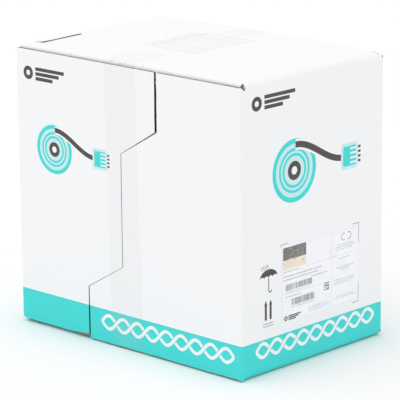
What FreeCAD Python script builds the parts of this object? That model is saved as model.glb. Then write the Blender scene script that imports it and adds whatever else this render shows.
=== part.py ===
"""A corrugated carton, lying on its side, with one spool of network cable on a fixed axle.

Lengths are in millimetres. +Z is up. The two wide faces, closed by flaps, look along -Y
(front) and +Y (back). The end panel with the shipping label looks along +X, and the end
panel with the payout door along -X. The origin is on the ground under the carton's middle.
Each back piece is its front piece mirrored in the XZ plane.
"""
import FreeCAD
import Part

import math
import os

V = FreeCAD.Vector

# Carton, outside
BOX_LENGTH = 405.0
BOX_DEPTH = 272.0
BOX_HEIGHT = 380.0
BOARD = 4.0                      # thickness of the corrugated board
TUBE_FOLD_INNER = 4.5            # inside radius of the folds between the tube's four panels
FLAP_FOLD_INNER = 1.0            # inside radius of the folds to the inner flaps

# Outer flaps and their stepped seam
LEFT_FLAP_BASE = 4.0             # outer flap's lower edge, above the ground
RIGHT_FLAP_BASE = 1.8
FLAP_FOLD_FLAT = 0.5             # thickness left square at an outer flap's rounded fold
SEAM_CENTRE_X = -7.5
SEAM_CENTRE_DROP = 4.8           # the seam's middle, below the carton's mid-height
SEAM_STEP = 63.5                 # sideways from the seam's middle run to its top or bottom run
SEAM_RAMP_START = 75.5           # from the seam's middle up or down to the start of a ramp
SEAM_RAMP_END = 112.7
SEAM_GAP_TOP = 3.5
SEAM_GAP_MIDDLE = 1.0
SEAM_GAP_BOTTOM = 1.8

# Inner flaps and the glued joint
CORNER_GAP = 0.5                 # from an end panel's inner face to the inner flap's side edge
GLUE_FLAP_WIDTH = 35.0
GLUE_FLAP_TAPER = 14.0

# Hand-holds, one near each end of the top panel
HAND_HOLD_WIDTH = 46.0
HAND_HOLD_LENGTH = 122.0
HAND_HOLD_CORNER = 16.0
HAND_HOLD_FROM_END = 66.0        # from the carton's end to the hand-hold's middle
CUT_CLEARANCE = 0.4              # between a perforated piece and the board around it

# Payout door at the top of the left end panel
DOOR_WIDTH = 73.0
DOOR_FROM_FRONT = 25.0
DOOR_DROP = 60.0                 # from the carton's top down to the door's crease
DOOR_LIP = 27.0                  # how far the door's lip reaches in over the top

# Clear tape and label
TAPE_WIDTH = 55.0
TAPE_THICKNESS = 0.1
TAPE_TURN_OVER = 50.0            # length of the tape on the top panel
TAPE_TILT_DEG = 1.3
TAPE_CENTRE_X = 0.0              # where the tape's centre line crosses its lower end
LABEL_LENGTH = 146.5
LABEL_HEIGHT = 102.0
LABEL_THICKNESS = 0.2
LABEL_CENTRE_Y = 11.5
LABEL_CENTRE_Z = 110.0

# Axle, its pads and its caps
PAD_THICKNESS = 7.0
PAD_CLEARANCE = 1.5
AXLE_RADIUS = 19.0
AXLE_WALL = 3.5
FIT = 0.05                       # radial clearance where one piece seats or turns in another
CAP_LIP = 15.0                   # how far a cap's flange reaches out past the axle
CAP_THICKNESS = 3.0
CAP_SPIGOT_LENGTH = 25.0
CAP_WALL = 2.5
CAP_MARGIN = 24.0                # from the cap's rim to an inner flap's free edge

# Spool
FLANGE_CLEARANCE = 16.0          # from the flange's rim to the board
FLANGE_THICKNESS = 6.0
HARDWARE_ROOM = 10.0             # from a flange's outer face to the pad
CORE_RADIUS = 60.0
CORE_WALL = 5.0
FLANGE_RIM = 23.0                # flange left bare outside the winding
WINDING_GAP = 0.3
BUSH_WALL = 5.0
BUSH_SHOULDER = 4.0              # how far the bush's boss reaches out past its sleeve
BUSH_SLEEVE_LENGTH = 20.0
BUSH_END_PLAY = 0.5
END_TAPE_WIDTH = 24.0
END_TAPE_THICKNESS = 0.3
END_TAPE_ARC_DEG = 40.0

# Tie rods that clamp the flanges
ROD_COUNT = 3
ROD_RADIUS = 3.0
ROD_HOLE_CLEARANCE = 0.3
ROD_STICK_OUT = 1.4
WASHER_RADIUS = 8.0
WASHER_THICKNESS = 1.6
NUT_ACROSS_FLATS = 10.0
NUT_THICKNESS = 5.0

# Faces, radii and centres that follow from the sizes above
TUBE_FOLD = BOARD + TUBE_FOLD_INNER
FLAP_FOLD = BOARD + FLAP_FOLD_INNER
FLAP_TOP = BOX_HEIGHT - FLAP_FOLD
OUTER_FLAP_ROUND = BOARD - FLAP_FOLD_FLAT
SEAM_CENTRE_Z = BOX_HEIGHT / 2 - SEAM_CENTRE_DROP
HALF_LENGTH = BOX_LENGTH / 2
HALF_DEPTH = BOX_DEPTH / 2
INNER_FLAP_FACE = HALF_DEPTH - BOARD
TUBE_END = INNER_FLAP_FACE - FLAP_FOLD
INNER_FLAP_SIDE = HALF_LENGTH - BOARD - CORNER_GAP
PAD_FACE = INNER_FLAP_FACE - BOARD
PAD_INNER = PAD_FACE - PAD_THICKNESS
AXLE_Z = BOX_HEIGHT / 2
CAP_RADIUS = AXLE_RADIUS + CAP_LIP
INNER_FLAP_EDGE = AXLE_Z - CAP_RADIUS - CAP_MARGIN
FLANGE_RADIUS = min(BOX_LENGTH, BOX_HEIGHT) / 2 - BOARD - FLANGE_CLEARANCE
FLANGE_OUTER = PAD_INNER - HARDWARE_ROOM
FLANGE_INNER = FLANGE_OUTER - FLANGE_THICKNESS
WINDING_RADIUS = FLANGE_RADIUS - FLANGE_RIM
BUSH_RADIUS = AXLE_RADIUS + BUSH_WALL
BUSH_BOSS_RADIUS = BUSH_RADIUS + BUSH_SHOULDER
ROD_CIRCLE = (BUSH_BOSS_RADIUS + CORE_RADIUS - CORE_WALL) / 2
DOOR_FRONT = -HALF_DEPTH + DOOR_FROM_FRONT
DOOR_BASE = BOX_HEIGHT - DOOR_DROP
ALONG_Y = V(0, 1, 0)


def slab(xs, ys, zs):
    """A box between two values on each axis."""
    size = [high - low for low, high in (xs, ys, zs)]
    return Part.makeBox(*size, V(xs[0], ys[0], zs[0]))


def prism(points, sweep):
    """A closed flat outline of straight edges, swept along a vector."""
    return Part.Face(Part.makePolygon(points + points[:1])).extrude(sweep)


def mirrored(shape):
    """The shape on the other side of the XZ plane."""
    return shape.mirror(V(0, 0, 0), ALONG_Y)


def disc(radius, y_start, length, x=0.0, z=AXLE_Z):
    """A cylinder along +Y from y_start."""
    return Part.makeCylinder(radius, length, V(x, y_start, z), ALONG_Y)


def ring(outer, inner, y_start, length):
    """A tube about the axle's line."""
    return disc(outer, y_start, length).cut(disc(inner, y_start, length))


def quarter_arc(centre, across, up, radius):
    """An arc's edge, from the unit vector across to the unit vector up about its centre."""
    middle = (across + up) * (radius * math.sqrt(0.5))
    return Part.Arc(centre + across * radius, centre + middle, centre + up * radius).toShape()


def folded_sheet(corners, start, end, sweep):
    """Board with rounded folds.

    corners are (centre, across, up, outer radius) of each fold, in order along the sheet,
    and across and up are unit vectors to the fold's two ends. start and end are the outer
    and inner points of the sheet's two cut ends.
    """
    outer = [start[0]]
    inner = [start[1]]
    edges = []
    for centre, across, up, fold in corners:
        for path, radius in ((outer, fold), (inner, fold - BOARD)):
            path += [centre + across * radius, centre + up * radius]
            edges.append(quarter_arc(centre, across, up, radius))
    outer.append(end[0])
    inner.append(end[1])
    for path in (outer, inner):
        for first, second in zip(path[0::2], path[1::2]):
            if first.distanceToPoint(second) > 1e-6:
                edges.append(Part.makeLine(first, second))
    edges.append(Part.makeLine(outer[0], inner[0]))
    edges.append(Part.makeLine(outer[-1], inner[-1]))
    return Part.Face(Part.Wire(Part.__sortEdges__(edges))).extrude(sweep)


def channel():
    """The top panel with a fold at each end, before any opening is cut."""
    left = V(-HALF_LENGTH + TUBE_FOLD, -TUBE_END, BOX_HEIGHT - TUBE_FOLD)
    right = V(HALF_LENGTH - TUBE_FOLD, -TUBE_END, BOX_HEIGHT - TUBE_FOLD)
    corners = [(left, V(-1, 0, 0), V(0, 0, 1), TUBE_FOLD)]
    corners.append((right, V(0, 0, 1), V(1, 0, 0), TUBE_FOLD))
    start = (left - V(TUBE_FOLD, 0, 0), left - V(TUBE_FOLD_INNER, 0, 0))
    end = (right + V(TUBE_FOLD, 0, 0), right + V(TUBE_FOLD_INNER, 0, 0))
    return folded_sheet(corners, start, end, V(0, 2 * TUBE_END, 0))


def hand_hold_blank(side, clearance):
    """The hand-hold's rounded outline through the top board; its crease is at the outer edge."""
    crease = HALF_LENGTH - HAND_HOLD_FROM_END + HAND_HOLD_WIDTH / 2
    free = crease - HAND_HOLD_WIDTH + clearance
    half = HAND_HOLD_LENGTH / 2 - clearance
    xs = sorted((side * free, side * crease))
    blank = slab(xs, (-half, half), (BOX_HEIGHT - BOARD, BOX_HEIGHT))
    upright = [edge for edge in blank.Edges if abs(edge.tangentAt(edge.FirstParameter).z) > 0.9]
    return blank.makeFillet(HAND_HOLD_CORNER, upright)


def door_cutter(clearance):
    """The block of space that the payout door takes out of the folded board."""
    xs = (-HALF_LENGTH - BOARD, -HALF_LENGTH + DOOR_LIP - clearance)
    ys = (DOOR_FRONT + clearance, DOOR_FRONT + DOOR_WIDTH - clearance)
    return slab(xs, ys, (DOOR_BASE, BOX_HEIGHT + BOARD))


def top_panel():
    panel = channel().cut(door_cutter(0.0))
    for side in (-1, 1):
        panel = panel.cut(hand_hold_blank(side, 0.0))
    return panel


def bottom_panel():
    return channel().mirror(V(0, 0, BOX_HEIGHT / 2), V(0, 0, 1))


def end_panel(side):
    xs = sorted((side * HALF_LENGTH, side * (HALF_LENGTH - BOARD)))
    return slab(xs, (-INNER_FLAP_FACE, INNER_FLAP_FACE), (TUBE_FOLD, BOX_HEIGHT - TUBE_FOLD))


def left_end_panel():
    return end_panel(-1).cut(door_cutter(0.0))


def payout_door():
    """Board from the crease up the left end, round the fold and in over the top."""
    fold = V(-HALF_LENGTH + TUBE_FOLD, DOOR_FRONT, BOX_HEIGHT - TUBE_FOLD)
    start = (V(-HALF_LENGTH, DOOR_FRONT, DOOR_BASE), V(-HALF_LENGTH + BOARD, DOOR_FRONT, DOOR_BASE))
    lip_x = -HALF_LENGTH + DOOR_LIP
    end = (V(lip_x, DOOR_FRONT, BOX_HEIGHT), V(lip_x, DOOR_FRONT, BOX_HEIGHT - BOARD))
    corners = [(fold, V(-1, 0, 0), V(0, 0, 1), TUBE_FOLD)]
    return folded_sheet(corners, start, end, V(0, DOOR_WIDTH, 0)).common(door_cutter(CUT_CLEARANCE))


def glue_flap():
    """The tube's glued joint: a tapered strip inside the left end panel, up from the bottom."""
    half = PAD_INNER - PAD_CLEARANCE
    x = -HALF_LENGTH + BOARD
    low = TUBE_FOLD
    high = low + GLUE_FLAP_WIDTH
    corners = [V(x, -half, low), V(x, half, low)]
    corners += [V(x, half - GLUE_FLAP_TAPER, high), V(x, GLUE_FLAP_TAPER - half, high)]
    return prism(corners, V(BOARD, 0, 0))


def inner_flap_top():
    """Front inner flap: its fold along the top, then board down to its free edge."""
    x = -INNER_FLAP_SIDE
    fold = V(x, -TUBE_END, BOX_HEIGHT - FLAP_FOLD)
    edge = BOX_HEIGHT - INNER_FLAP_EDGE
    start = (V(x, -INNER_FLAP_FACE, edge), V(x, -PAD_FACE, edge))
    end = (V(x, -TUBE_END, BOX_HEIGHT), V(x, -TUBE_END, BOX_HEIGHT - BOARD))
    corners = [(fold, V(0, -1, 0), V(0, 0, 1), FLAP_FOLD)]
    return folded_sheet(corners, start, end, V(2 * INNER_FLAP_SIDE, 0, 0))


def inner_flap_bottom():
    return inner_flap_top().mirror(V(0, 0, BOX_HEIGHT / 2), V(0, 0, 1))


def seam_points(side, low):
    """The stepped free edge of one front outer flap, from its top to its bottom.

    side is -1 for the left flap, which keeps half of each gap clear on its right.
    """
    runs = [
        (FLAP_TOP, SEAM_STEP, SEAM_GAP_TOP),
        (SEAM_CENTRE_Z + SEAM_RAMP_END, SEAM_STEP, SEAM_GAP_TOP),
        (SEAM_CENTRE_Z + SEAM_RAMP_START, 0.0, SEAM_GAP_MIDDLE),
        (SEAM_CENTRE_Z - SEAM_RAMP_START, 0.0, SEAM_GAP_MIDDLE),
        (SEAM_CENTRE_Z - SEAM_RAMP_END, -SEAM_STEP, SEAM_GAP_BOTTOM),
        (low, -SEAM_STEP, SEAM_GAP_BOTTOM),
    ]
    return [V(SEAM_CENTRE_X + step + side * gap / 2, -HALF_DEPTH, z) for z, step, gap in runs]


def outer_flap_outline(side):
    """A front outer flap's outline on the carton's face, from its fold to its free edge."""
    low = LEFT_FLAP_BASE if side < 0 else RIGHT_FLAP_BASE
    fold_x = side * HALF_LENGTH
    edge = [V(fold_x, -HALF_DEPTH, low), V(fold_x, -HALF_DEPTH, FLAP_TOP)]
    return edge + seam_points(side, low)


def outer_flap(side):
    flap = prism(outer_flap_outline(side), V(0, BOARD, 0))
    fold = [edge for edge in flap.Edges if is_outer_corner(edge, side)]
    return flap.makeFillet(OUTER_FLAP_ROUND, fold)


def is_outer_corner(edge, side):
    """Whether an edge is the upright one at the carton's outer corner."""
    corner = V(side * HALF_LENGTH, -HALF_DEPTH, 0)
    return all(abs(v.X - corner.x) < 1e-6 and abs(v.Y - corner.y) < 1e-6 for v in edge.Vertexes)


def tape_half(side):
    """The part of the seam's tape that stays on one front flap once the seam is slit."""
    low = max(LEFT_FLAP_BASE, RIGHT_FLAP_BASE)
    high = FLAP_TOP
    lean = math.tan(math.radians(TAPE_TILT_DEG)) * (high - low)
    half = TAPE_WIDTH / 2
    face = -HALF_DEPTH - TAPE_THICKNESS
    strip = [V(TAPE_CENTRE_X - half, face, low), V(TAPE_CENTRE_X + half, face, low)]
    strip += [V(TAPE_CENTRE_X - lean + half, face, high), V(TAPE_CENTRE_X - lean - half, face, high)]
    outline = [V(p.x, face, p.z) for p in outer_flap_outline(side)]
    return prism(strip, V(0, TAPE_THICKNESS, 0)).common(prism(outline, V(0, TAPE_THICKNESS, 0)))


def tape_turn_over():
    """The tape's end, flat on the top panel behind the fold."""
    lean = math.tan(math.radians(TAPE_TILT_DEG)) * FLAP_TOP
    centre = TAPE_CENTRE_X - lean
    ys = (-TUBE_END, -TUBE_END + TAPE_TURN_OVER)
    xs = (centre - TAPE_WIDTH / 2, centre + TAPE_WIDTH / 2)
    return slab(xs, ys, (BOX_HEIGHT, BOX_HEIGHT + TAPE_THICKNESS))


def shipping_label():
    ys = (LABEL_CENTRE_Y - LABEL_LENGTH / 2, LABEL_CENTRE_Y + LABEL_LENGTH / 2)
    zs = (LABEL_CENTRE_Z - LABEL_HEIGHT / 2, LABEL_CENTRE_Z + LABEL_HEIGHT / 2)
    return slab((HALF_LENGTH, HALF_LENGTH + LABEL_THICKNESS), ys, zs)


def support_pad():
    """Double-wall pad behind the front inner flaps, with the hole that seats the axle."""
    half = HALF_LENGTH - BOARD - PAD_CLEARANCE
    zs = (BOARD + PAD_CLEARANCE, BOX_HEIGHT - BOARD - PAD_CLEARANCE)
    pad = slab((-half, half), (-PAD_FACE, -PAD_INNER), zs)
    corners = [edge for edge in pad.Edges if abs(edge.tangentAt(edge.FirstParameter).y) > 0.9]
    pad = pad.makeFillet(TUBE_FOLD_INNER, corners)
    return pad.cut(disc(AXLE_RADIUS + FIT, -PAD_FACE, PAD_THICKNESS))


def axle_tube():
    return ring(AXLE_RADIUS, AXLE_RADIUS - AXLE_WALL, -PAD_FACE, 2 * PAD_FACE)


def axle_cap():
    """Plastic cap: a flange on the pad's outer face and a hollow spigot inside the axle."""
    spigot = AXLE_RADIUS - AXLE_WALL - FIT
    flange = disc(CAP_RADIUS, -PAD_FACE - CAP_THICKNESS, CAP_THICKNESS)
    hollow = disc(spigot - CAP_WALL, -PAD_FACE, CAP_SPIGOT_LENGTH)
    return flange.fuse(disc(spigot, -PAD_FACE, CAP_SPIGOT_LENGTH)).cut(hollow)


def rod_places():
    """Where the tie rods cross the XZ plane."""
    turns = [math.radians(90 + 360 * index / ROD_COUNT) for index in range(ROD_COUNT)]
    return [(ROD_CIRCLE * math.cos(turn), AXLE_Z + ROD_CIRCLE * math.sin(turn)) for turn in turns]


def flange():
    """Front flange of the spool, with holes for its bush and for the tie rods."""
    plate = ring(FLANGE_RADIUS, BUSH_RADIUS + FIT, -FLANGE_OUTER, FLANGE_THICKNESS)
    for x, z in rod_places():
        plate = plate.cut(disc(ROD_RADIUS + ROD_HOLE_CLEARANCE, -FLANGE_OUTER, FLANGE_THICKNESS, x, z))
    return plate


def core_tube():
    return ring(CORE_RADIUS, CORE_RADIUS - CORE_WALL, -FLANGE_INNER, 2 * FLANGE_INNER)


def bush():
    """Front bush: a sleeve in the flange and a boss outside it, both bored for the axle."""
    boss = HARDWARE_ROOM - BUSH_END_PLAY
    body = disc(BUSH_RADIUS, -FLANGE_OUTER, BUSH_SLEEVE_LENGTH)
    body = body.fuse(disc(BUSH_BOSS_RADIUS, -FLANGE_OUTER - boss, boss))
    return body.cut(disc(AXLE_RADIUS + FIT, -FLANGE_OUTER - boss, boss + BUSH_SLEEVE_LENGTH))


def cable_winding():
    """The wound cable as one smooth ring between the flanges."""
    return ring(WINDING_RADIUS, CORE_RADIUS + WINDING_GAP, -FLANGE_INNER, 2 * FLANGE_INNER)


def cable_end_tape():
    """The strip that holds the cable's end against the winding, on its upper left."""
    inner = WINDING_RADIUS + WINDING_GAP
    face = Part.makeLine(V(inner, -END_TAPE_WIDTH / 2, 0), V(inner, END_TAPE_WIDTH / 2, 0))
    sheet = face.extrude(V(END_TAPE_THICKNESS, 0, 0))
    strip = sheet.revolve(V(0, 0, 0), V(0, -1, 0), END_TAPE_ARC_DEG)
    strip.rotate(V(0, 0, 0), V(0, -1, 0), 90 + END_TAPE_ARC_DEG / 2)
    strip.translate(V(0, 0, AXLE_Z))
    return strip


def tie_rods():
    half = FLANGE_OUTER + WASHER_THICKNESS + NUT_THICKNESS + ROD_STICK_OUT
    return Part.makeCompound([disc(ROD_RADIUS, -half, 2 * half, x, z) for x, z in rod_places()])


def tie_rod_washers():
    washers = []
    start = -FLANGE_OUTER - WASHER_THICKNESS
    for x, z in rod_places():
        washer = disc(WASHER_RADIUS, start, WASHER_THICKNESS, x, z)
        washer = washer.cut(disc(ROD_RADIUS + ROD_HOLE_CLEARANCE, start, WASHER_THICKNESS, x, z))
        washers += [washer, mirrored(washer)]
    return Part.makeCompound(washers)


def tie_rod_nuts():
    nuts = []
    start = -FLANGE_OUTER - WASHER_THICKNESS - NUT_THICKNESS
    corner = NUT_ACROSS_FLATS / math.sqrt(3)
    for x, z in rod_places():
        turns = [math.radians(60 * index) for index in range(6)]
        hexagon = [V(x + corner * math.cos(turn), start, z + corner * math.sin(turn)) for turn in turns]
        nut = prism(hexagon, V(0, NUT_THICKNESS, 0))
        nut = nut.cut(disc(ROD_RADIUS + FIT, start, NUT_THICKNESS, x, z))
        nuts += [nut, mirrored(nut)]
    return Part.makeCompound(nuts)


def pieces():
    """Every node's name and shape."""
    nodes = {
        "top_panel": top_panel(),
        "bottom_panel": bottom_panel(),
        "right_end_panel": end_panel(1),
        "left_end_panel": left_end_panel(),
        "glue_flap": glue_flap(),
        "hand_hold_tab_left": hand_hold_blank(-1, CUT_CLEARANCE),
        "hand_hold_tab_right": hand_hold_blank(1, CUT_CLEARANCE),
        "payout_door": payout_door(),
        "shipping_label": shipping_label(),
        "axle_tube": axle_tube(),
        "core_tube": core_tube(),
        "cable_winding": cable_winding(),
        "cable_end_tape": cable_end_tape(),
        "tie_rods": tie_rods(),
        "tie_rod_washers": tie_rod_washers(),
        "tie_rod_nuts": tie_rod_nuts(),
    }
    paired = {
        "%s_top_flap": inner_flap_top(),
        "%s_bottom_flap": inner_flap_bottom(),
        "%s_left_flap": outer_flap(-1),
        "%s_right_flap": outer_flap(1),
        "%s_tape_left": tape_half(-1),
        "%s_tape_right": tape_half(1),
        "%s_tape_top": tape_turn_over(),
        "support_pad_%s": support_pad(),
        "axle_cap_%s": axle_cap(),
        "flange_%s": flange(),
        "bush_%s": bush(),
    }
    for name, shape in paired.items():
        nodes[name % "front"] = shape
        nodes[name % "back"] = mirrored(shape)
    return nodes


os.makedirs("parts", exist_ok=True)
for node, shape in pieces().items():
    shape.exportStep("parts/" + node + ".step")
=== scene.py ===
"""Looks of the cable spool box: corrugated board with printed white liner, tape, label, spool.

Metres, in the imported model's frame: +Z up, front face along -Y, label face along +X.
Board pieces are laid out flat in (s, t, n), where s and t lie in the sheet and n is the depth
below its outer face, and are then folded into place.
"""
import random
from math import ceil, cos, exp, hypot, pi, radians, sin, sqrt, tan

import bmesh
import bpy
from mathutils import Matrix, Vector, noise
from mathutils.geometry import delaunay_2d_cdt


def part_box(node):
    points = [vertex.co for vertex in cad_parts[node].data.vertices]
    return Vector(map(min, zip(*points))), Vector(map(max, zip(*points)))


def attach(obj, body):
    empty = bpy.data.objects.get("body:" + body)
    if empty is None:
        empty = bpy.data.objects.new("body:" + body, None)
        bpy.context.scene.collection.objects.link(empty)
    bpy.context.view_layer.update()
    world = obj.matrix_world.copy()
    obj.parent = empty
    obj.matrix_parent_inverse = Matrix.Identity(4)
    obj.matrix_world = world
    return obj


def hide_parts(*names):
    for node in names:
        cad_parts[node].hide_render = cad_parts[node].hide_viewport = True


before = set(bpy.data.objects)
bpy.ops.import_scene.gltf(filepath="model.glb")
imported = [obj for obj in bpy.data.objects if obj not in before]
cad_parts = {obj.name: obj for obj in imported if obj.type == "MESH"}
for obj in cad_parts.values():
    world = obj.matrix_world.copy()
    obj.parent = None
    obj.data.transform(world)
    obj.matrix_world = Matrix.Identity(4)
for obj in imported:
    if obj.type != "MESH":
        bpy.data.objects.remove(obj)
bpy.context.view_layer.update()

MM = 0.001

# ---------------- sizes read from the CAD
TOP_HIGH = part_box("top_panel")[1]
END_LOW, END_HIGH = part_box("right_end_panel")
RIM_LOW, RIM_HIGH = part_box("front_right_flap")
INNER_LOW, INNER_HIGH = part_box("front_top_flap")
DOOR_LOW, DOOR_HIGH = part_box("payout_door")
TAB_LOW, TAB_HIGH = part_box("hand_hold_tab_right")
GLUE_LOW, GLUE_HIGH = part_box("glue_flap")
PAD_LOW, PAD_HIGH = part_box("support_pad_back")
LABEL_LOW, LABEL_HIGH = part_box("shipping_label")
WIND_LOW, WIND_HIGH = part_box("cable_winding")

AXLE_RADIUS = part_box("axle_tube")[1][0]

HALF_L = TOP_HIGH[0]
HALF_D = -RIM_LOW[1]
HEIGHT = TOP_HIGH[2]
BOARD = END_HIGH[0] - END_LOW[0]
TUBE_FOLD = END_LOW[2]  # outer radius of the tube's four folds
FLAP_TOP = RIM_HIGH[2]
FLAP_FOLD = HEIGHT - FLAP_TOP  # outer radius of the inner flaps' folds
BODY_HALF = END_HIGH[1]  # y of the tube's rim, where the outer flaps start
TOP_HALF = TOP_HIGH[1]  # y at which the top panel's flat part ends
LEFT_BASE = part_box("front_left_flap")[0][2]
RIGHT_BASE = RIM_LOW[2]

FACES = ((True, "front"), (False, "back"))
SIDES = ((-1, "left"), (1, "right"))

LINER = 0.35 * MM
MEDIUM = 0.30 * MM
PITCH = 7.9 * MM  # from flute to flute
FINE_PITCH = 6.2 * MM  # the same in a pad's outer wall
CUT = 0.4 * MM  # width of a cut round the tabs and the door
CLOSED = 0.3 * MM  # depth of the strip that closes the board along a crease
TOP_DOME = 4.5 * MM
FRONT_LIFT = 0.8 * MM  # of the top panel's front rim, over and above its dome
BACK_LIFT = 3.6 * MM
BAND_TOP = 46.5 * MM

# The seam: x of its middle run, z half-way, and each run's (offset in x, gap) from the top.
SEAM_X = -7.5 * MM
SEAM_Z = HEIGHT / 2 - 4.8 * MM
SEAM_STEP = 63.5 * MM
RAMP_START = 75.5 * MM
RAMP_END = 112.7 * MM
SEAM_RUNS = ((SEAM_STEP, 3.9 * MM), (0.0, 1.0 * MM), (-SEAM_STEP, 1.8 * MM))

FOOT_ROUNDING = 9.0 * MM  # at the foot of an outer flap's crease
SHARP_FOOT = 2.0 * MM  # the same on the front right flap
CROWN_ROUNDING = 3.6 * MM

TAPE_HALF = 27.5 * MM
TAPE_LEAN = tan(radians(1.3))
TAPE_THICK = 0.06 * MM
TAPE_LEG = 4 * MM  # from the flap's face up over its top edge
TAPE_TURNED_OVER = 50 * MM
CABLE = 6.2 * MM
CORE = 60.3 * MM  # radius at which the winding starts


# ---------------- materials
def srgb(red, green, blue):
    """A display colour, 0 to 255, as linear RGBA."""
    linear = [((c / 255 + 0.055) / 1.055) ** 2.4 if c > 10 else c / 255 / 12.92 for c in (red, green, blue)]
    return (*linear, 1.0)


def level(value):
    """A plain value as a grey."""
    return (value, value, value, 1)


class Shader:
    """A node tree under construction, with short calls for the nodes that the materials use."""

    def __init__(self, name, roughness, specular):
        self.material = bpy.data.materials.new(name)
        self.material.use_nodes = True
        self.tree = self.material.node_tree
        self.bsdf = self.tree.nodes["Principled BSDF"]
        self.bsdf.inputs["Roughness"].default_value = roughness
        self.bsdf.inputs["Specular IOR Level"].default_value = specular
        self.coords = self.tree.nodes.new("ShaderNodeTexCoord").outputs["Object"]
        self.height = None

    def node(self, kind, inputs=(), **settings):
        made = self.tree.nodes.new(kind)
        for key, value in settings.items():
            setattr(made, key, value)
        for key, value in dict(inputs).items():
            if isinstance(value, bpy.types.NodeSocket):
                self.tree.links.new(value, made.inputs[key])
            else:
                made.inputs[key].default_value = value
        return made

    def noise(self, scale, detail=3.0, stretch=(1, 1, 1), roughness=0.55):
        """Cloudy values over the object's coordinates, stretched by a factor on each axis."""
        place = self.node("ShaderNodeMapping", {"Vector": self.coords, "Scale": stretch}).outputs[0]
        made = self.node("ShaderNodeTexNoise", {"Vector": place, "Scale": scale, "Detail": detail,
                                                "Roughness": roughness})
        return made.outputs["Fac"]

    def wave(self, pitch, direction, distortion):
        """Even ridges across one axis, one to each pitch."""
        scale = pi / (10 * pitch)
        made = self.node("ShaderNodeTexWave", {"Vector": self.coords, "Scale": scale,
                                               "Distortion": distortion, "Detail": 1.0},
                         bands_direction=direction, wave_profile="SIN")
        return made.outputs["Fac"]

    def ramp(self, value, first, last):
        """Value through a colour ramp between two (place, colour) stops."""
        made = self.node("ShaderNodeValToRGB", {"Fac": value})
        low, high = made.color_ramp.elements
        low.position, low.color = first
        high.position, high.color = last
        return made.outputs["Color"]

    def between(self, value, low, high):
        """A factor that rises from 0 at low to 1 at high."""
        return self.ramp(value, (low, level(0)), (high, level(1)))

    def mix(self, factor, first, second):
        return self.node("ShaderNodeMix", {0: factor, 6: first, 7: second}, data_type="RGBA").outputs[2]

    def math(self, operation, first, second):
        return self.node("ShaderNodeMath", {0: first, 1: second}, operation=operation).outputs[0]

    def bump(self, value, strength, distance):
        """One more layer of relief, over those before it."""
        made = self.node("ShaderNodeBump", {"Height": value, "Strength": strength, "Distance": distance})
        if self.height is not None:
            self.tree.links.new(self.height, made.inputs["Normal"])
        self.height = made.outputs[0]

    def done(self, colour, roughness=None):
        links = self.tree.links
        links.new(colour, self.bsdf.inputs["Base Color"])
        if roughness is not None:
            links.new(roughness, self.bsdf.inputs["Roughness"])
        if self.height is not None:
            links.new(self.height, self.bsdf.inputs["Normal"])
        return self.material


def printed(name, axis, light, dark, roughness=0.62, specular=0.3, mottle=0.5):
    """Coated liner or the ink on it: mottled, with fine fibres and the flutes showing through, as relief and
    as painted shade along each flute ridge.
    """
    s = Shader(name, roughness, specular)
    cloud = s.noise(28.0, 4.0)
    fibre = s.noise(900.0, 2.0, (1.0, 1.0, 0.35))
    ridges = s.wave(PITCH, axis, 0.35)
    tone = s.math("MULTIPLY_ADD", cloud, mottle)
    shade = s.mix(s.between(tone, 0.30, 0.72), dark, light)
    # Painted shade: the tone darkens a little along each flute ridge, standing in for the washboard relief's
    # shading.
    shade = s.mix(s.math("MULTIPLY", ridges, 0.10), shade, dark)
    s.bump(ridges, 0.10, 0.00008)
    s.bump(fibre, 0.18, 0.00005)
    rough = s.ramp(cloud, (0.3, level(roughness - 0.07)), (0.7, level(roughness + 0.08)))
    return s.done(shade, rough)


def kraft(name, light, dark, stretch=(1.0, 1.0, 1.0)):
    """Bare or cut paper: fibres and dark specks."""
    s = Shader(name, 0.85, 0.2)
    cloud = s.noise(35.0, 4.0)
    fibre = s.noise(420.0, 5.0, stretch, 0.7)
    speck = s.noise(1400.0, 1.0)
    colour = s.mix(s.between(fibre, 0.32, 0.68), dark, light)
    colour = s.mix(s.math("MULTIPLY", cloud, 0.35), colour, dark)
    colour = s.mix(s.between(speck, 0.68, 0.74), colour, srgb(88, 62, 40))
    s.bump(fibre, 0.35, 0.00008)
    return s.done(colour)


# Each finish's name, light and dark tone, then roughness, specular and mottle where not plain.
PRINTS = {
    "white": ("white_liner_", (244, 245, 247), (238, 238, 240)),
    "teal": ("teal_ink_", (70, 219, 216), (52, 207, 204)),
    "deep_teal": ("deep_teal_ink_", (50, 190, 190), (38, 172, 174)),
    "pale_teal": ("pale_teal_ink_", (206, 234, 237), (190, 226, 229)),
    "ink": ("dark_ink_", (84, 79, 79), (66, 62, 63)),
    "grey": ("grey_ink_", (240, 241, 243), (234, 235, 237)),
    "line": ("line_ink_", (214, 215, 217), (200, 201, 203)),
    "mark": ("mark_ink_", (148, 146, 147), (124, 122, 124)),
    # worn and rubbed: greyer liner for crinkled wear, also laid in steps down the top inner flaps' rolled
    # folds as painted shade.
    "worn": ("worn_and_shaded_liner_", (241, 239, 239), (214, 211, 211), 0.75, 0.2, 0.9),
    "rubbed_and_shaded": ("rubbed_and_shaded_liner_", (244, 244, 246), (230, 229, 230), 0.7, 0.25, 0.8),
}


def liner_set(axis):
    """The liner's own finish and each of its inks, on board whose flutes repeat along an axis."""
    tag = axis.lower()
    finishes = {key: printed(name + tag, axis, srgb(*light), srgb(*dark), *rest)
                for key, (name, light, dark, *rest) in PRINTS.items()}
    finishes["scuff"] = kraft("torn_liner_" + tag, srgb(182, 158, 142), srgb(120, 82, 66))
    return finishes


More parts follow.
